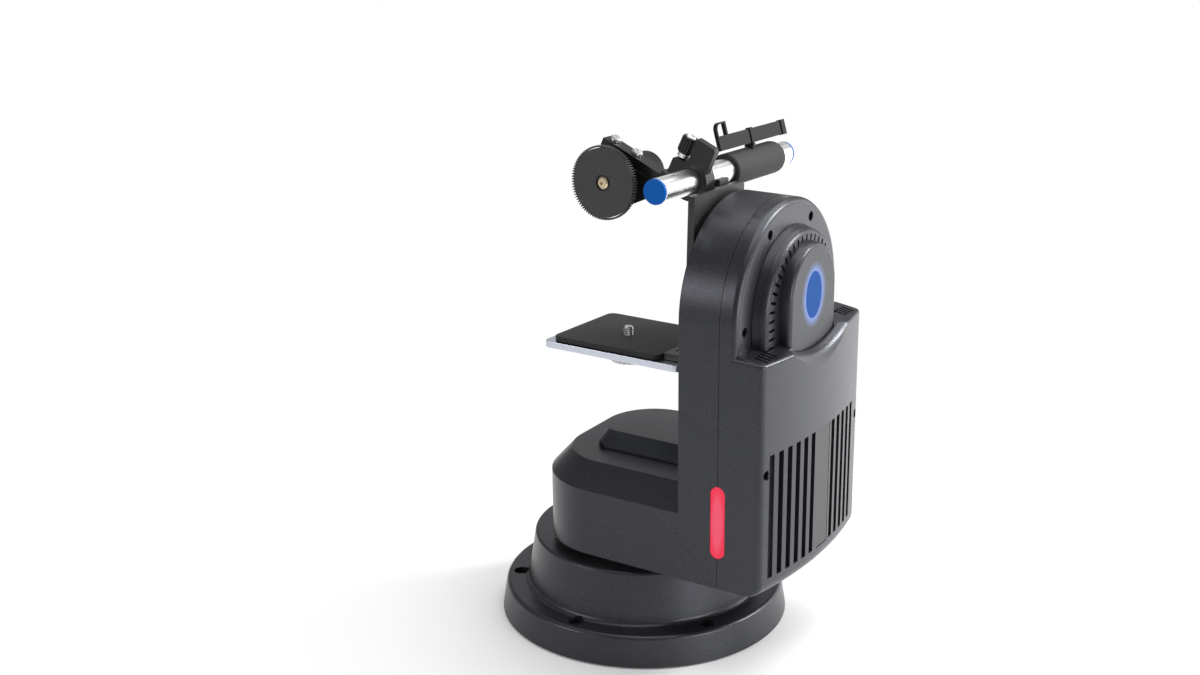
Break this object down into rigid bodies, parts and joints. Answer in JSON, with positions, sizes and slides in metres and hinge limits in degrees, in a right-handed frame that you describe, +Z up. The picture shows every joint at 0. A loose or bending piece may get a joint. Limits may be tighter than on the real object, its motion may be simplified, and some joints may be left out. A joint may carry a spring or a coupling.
{
  "type": "remote pan tilt head",
  "caption": "Motorised pan and tilt camera head: round base, one-sided arm, camera cradle with a support rod and a geared focus drive.",
  "frame": {"origin": "middle of the base's underside, on the surface it stands on, where the pan axis meets it", "axes": "+Z up along the pan axis, -Y the way the lens looks at pan zero, +X towards the arm, along the tilt axis"},
  "size_m": [0.2175, 0.1924, 0.3198],
  "materials": {
    "housing_paint": "fine-grained charcoal powder coat",
    "cover_moulding": "fine-grained charcoal moulding",
    "rubber": "smooth black rubber",
    "steel": "plain machined steel",
    "cast_aluminium": "cast and machined, bare",
    "black_anodised": "black anodised",
    "bare_aluminium": "brushed and clear anodised",
    "chrome": "polished chrome",
    "moulded_black": "black moulding",
    "board": "green solder mask",
    "motor_case": "grey painted steel can",
    "brass": "machined brass",
    "status_blue": "blue diffuser, lit",
    "tally_red": "red diffuser",
    "cap_blue": "blue plug",
    "strip_grey": "blank grey strip",
    "grip_rubber": "dull dark grey sleeve"
  },
  "bodies": {
    "base": {"base_housing": "housing_paint", "foot_ring": "rubber", "base_bottom_plate": "steel", "base_board": "board", "pan_motor_bracket": "cast_aluminium", "pan_motor": "motor_case", "pan_bearing_outer": "steel", "connector_panel": "black_anodised", "power_inlet": "moulded_black", "control_socket": "steel"},
    "pan_pinion": {"pan_pinion": "brass"},
    "turret": {"pan_turntable": "cast_aluminium", "pan_bearing_inner": "steel", "pan_gear": "steel", "foot_base_plate": "cast_aluminium", "cable_grommet": "rubber", "arm_housing": "housing_paint", "foot_top_cover": "cover_moulding", "arm_outer_cover": "cover_moulding", "tilt_cover": "cover_moulding", "status_lens": "status_blue", "tally_lens": "tally_red", "label_strip": "strip_grey", "arm_frame": "cast_aluminium", "tilt_bearing_outer": "steel", "tilt_motor_bracket": "cast_aluminium", "tilt_motor": "motor_case", "control_board": "board", "driver_heatsink": "cast_aluminium", "cover_screw_1": "steel", "cover_screw_2": "steel", "cover_screw_3": "steel", "cover_screw_4": "steel", "cover_screw_5": "steel", "cover_screw_6": "steel"},
    "tilt_pinion": {"tilt_pinion": "brass"},
    "cradle": {"tilt_hub": "steel", "tilt_bearing_inner": "steel", "tilt_gear": "steel", "upright_plate": "black_anodised", "camera_plate": "bare_aluminium", "plate_pad": "rubber", "plate_screw_1": "steel", "plate_screw_2": "steel", "rod_mount": "black_anodised"},
    "camera_screw": {"camera_screw": "steel"},
    "rod": {"rod": "chrome", "rod_cap_front": "cap_blue", "rod_cap_back": "cap_blue", "rod_sleeve": "grip_rubber", "lead_clip": "moulded_black"},
    "focus_arm": {"rod_clamp": "black_anodised", "focus_arm": "black_anodised", "focus_plate": "black_anodised", "focus_motor": "moulded_black", "arm_screw_1": "chrome", "arm_screw_2": "chrome"},
    "clamp_knob": {"clamp_knob": "black_anodised"},
    "focus_gear": {"focus_gear": "moulded_black", "focus_gear_screw": "brass"}
  },
  "joints": [
    {"name": "pan", "type": "hinge", "parent": "base", "child": "turret", "pos_m": [0, 0, 0.0565], "axis": [0, 0, 1], "range_deg": [-185, 185]},
    {"name": "pan_pinion_spin", "type": "hinge", "parent": "base", "child": "pan_pinion", "pos_m": [-0.045, 0, 0.035], "axis": [0, 0, 1], "range_deg": [-740, 740]},
    {"name": "tilt", "type": "hinge", "parent": "turret", "child": "cradle", "pos_m": [0.0627, 0, 0.2193], "axis": [1, 0, 0], "range_deg": [-57, 93]},
    {"name": "tilt_pinion_spin", "type": "hinge", "parent": "turret", "child": "tilt_pinion", "pos_m": [0.086, 0, 0.1743], "axis": [1, 0, 0], "range_deg": [-372, 228]},
    {"name": "rod_slide", "type": "slide", "parent": "cradle", "child": "rod", "axis": [0, 0.999, -0.0436], "range_m": [-0.0095, 0.0015]},
    {"name": "focus_arm_swing", "type": "hinge", "parent": "rod", "child": "focus_arm", "pos_m": [0.045, -0.01642, 0.29138], "axis": [0, 0.999, -0.0436], "range_deg": [-25, 30]},
    {"name": "clamp_knob_turn", "type": "hinge", "parent": "focus_arm", "child": "clamp_knob", "pos_m": [0.03376, -0.0162, 0.29638], "axis": [0.4067, 0.0398, 0.9127], "range_deg": [-180, 180]},
    {"name": "focus_gear_spin", "type": "hinge", "parent": "focus_arm", "child": "focus_gear", "pos_m": [-0.0073, -0.03058, 0.287], "axis": [0, 0.999, -0.0436], "continuous": true},
    {"name": "camera_screw_turn", "type": "hinge", "parent": "cradle", "child": "camera_screw", "pos_m": [0, -0.01764, 0.18203], "axis": [0, 0.0436, 0.999], "continuous": true}
  ],
  "couplings": [
    {"joint": "pan_pinion_spin", "follows": "pan", "ratio": -4},
    {"joint": "tilt_pinion_spin", "follows": "tilt", "ratio": -4}
  ]
}
